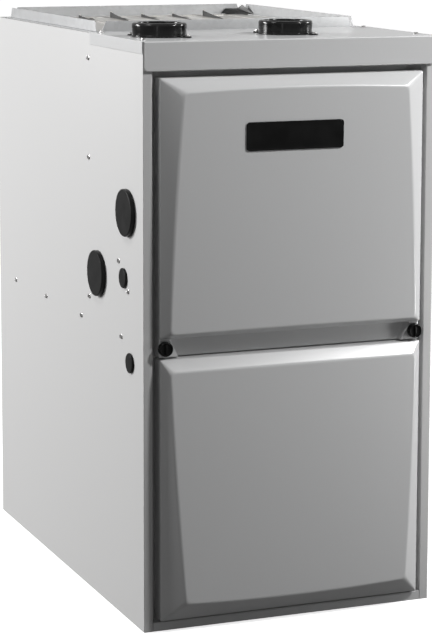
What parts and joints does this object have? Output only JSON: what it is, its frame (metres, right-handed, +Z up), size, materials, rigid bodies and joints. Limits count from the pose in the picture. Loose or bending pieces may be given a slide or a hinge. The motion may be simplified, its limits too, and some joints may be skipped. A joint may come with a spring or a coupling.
{
  "type": "forced air gas furnace",
  "caption": "Upright sheet metal gas furnace with bowed front access doors, flue and intake collars on its top cap and a flanged supply air opening over the heat exchanger.",
  "frame": {"origin": "on the floor under the middle of the whole furnace", "axes": "+Z up, the doors face -Y, +X to the right as seen from the front"},
  "size_m": [0.459, 0.7312, 0.851],
  "materials": {
    "side_paint": "satin",
    "front_paint": "satin metallic",
    "galvanised": "satin zinc coat",
    "collar_plastic": "gloss",
    "plug_plastic": "satin",
    "screw_steel": "satin",
    "burnished_steel": "satin",
    "fin_aluminium": "satin",
    "coil_tube_steel": "satin",
    "collector_plastic": "satin",
    "manifold_paint": "matte",
    "valve_aluminium": "cast",
    "knob_plastic": "gloss",
    "ceramic_white": "matte",
    "motor_paint": "satin",
    "wheel_steel": "satin",
    "hose_rubber": "matte",
    "pipe_plastic": "satin",
    "board_green": "satin",
    "insulation": "fibrous",
    "badge_black": "gloss"
  },
  "bodies": {
    "cabinet": {"cabinet_wrapper": "side_paint", "base_pan": "galvanised", "blower_deck": "galvanised", "door_rail": "galvanised", "top_cap": "front_paint", "supply_flange_front": "galvanised", "supply_flange_rear": "galvanised", "supply_flange_left": "galvanised", "supply_flange_right": "galvanised", "vest_panel": "galvanised", "exhaust_collar": "collar_plastic", "intake_collar": "collar_plastic", "knockout_plugs": "plug_plastic", "cabinet_screws": "screw_steel", "heat_exchanger_cell_1": "burnished_steel", "heat_exchanger_cell_2": "burnished_steel", "heat_exchanger_cell_3": "burnished_steel", "heat_exchanger_cell_4": "burnished_steel", "heat_exchanger_cell_5": "burnished_steel", "heat_exchanger_cell_6": "burnished_steel", "hot_header": "burnished_steel", "coil_fins": "fin_aluminium", "coil_tubes": "coil_tube_steel", "collector_box": "collector_plastic", "burner_box": "galvanised", "burners": "burnished_steel", "gas_manifold": "manifold_paint", "gas_valve": "valve_aluminium", "igniter": "ceramic_white", "flame_sensor": "ceramic_white", "limit_switch": "plug_plastic", "rollout_switches": "plug_plastic", "inducer_housing": "collector_plastic", "inducer_motor": "motor_paint", "pressure_switch": "plug_plastic", "pressure_hose": "hose_rubber", "condensate_trap": "collector_plastic", "drain_hose": "hose_rubber", "exhaust_pipe": "pipe_plastic", "junction_box": "galvanised", "blower_housing": "galvanised", "blower_motor": "motor_paint", "motor_mount": "galvanised", "control_tray": "galvanised", "control_board": "board_green", "transformer": "motor_paint", "door_switch": "plug_plastic"},
    "upper_door": {"upper_door": "front_paint", "badge_plate": "badge_black"},
    "lower_door": {"lower_door": "front_paint", "lower_door_liner": "insulation"},
    "left_knob": {"left_knob": "knob_plastic"},
    "right_knob": {"right_knob": "knob_plastic"},
    "blower_rotor": {"blower_wheel": "wheel_steel", "blower_shaft": "wheel_steel"},
    "inducer_rotor": {"inducer_wheel": "wheel_steel"},
    "gas_valve_knob": {"gas_valve_knob": "knob_plastic"},
    "door_switch_plunger": {"door_switch_plunger": "pipe_plastic"}
  },
  "joints": [
    {"name": "upper_door_pull", "type": "slide", "parent": "cabinet", "child": "upper_door", "axis": [0, -1, 0], "range_m": [0, 0.3]},
    {"name": "lower_door_pull", "type": "slide", "parent": "cabinet", "child": "lower_door", "axis": [0, -1, 0], "range_m": [0, 0.3]},
    {"name": "left_knob_turn", "type": "hinge", "parent": "upper_door", "child": "left_knob", "pos_m": [-0.192, -0.3345, 0.405], "axis": [0, 1, 0], "range_deg": [0, 90]},
    {"name": "right_knob_turn", "type": "hinge", "parent": "upper_door", "child": "right_knob", "pos_m": [0.192, -0.3345, 0.405], "axis": [0, 1, 0], "range_deg": [0, 90]},
    {"name": "blower_spin", "type": "hinge", "parent": "cabinet", "child": "blower_rotor", "pos_m": [0, 0.0655, 0.205], "axis": [1, 0, 0], "continuous": true},
    {"name": "inducer_spin", "type": "hinge", "parent": "cabinet", "child": "inducer_rotor", "pos_m": [-0.1, -0.2355, 0.5], "axis": [0, 1, 0], "continuous": true},
    {"name": "gas_valve_turn", "type": "hinge", "parent": "cabinet", "child": "gas_valve_knob", "pos_m": [0.16, -0.2345, 0.641], "axis": [0, 1, 0], "range_deg": [0, 90]},
    {"name": "door_switch_press", "type": "slide", "parent": "cabinet", "child": "door_switch_plunger", "axis": [0, 1, 0], "range_m": [0, 0.003], "stiffness_N_per_m": 400}
  ]
}
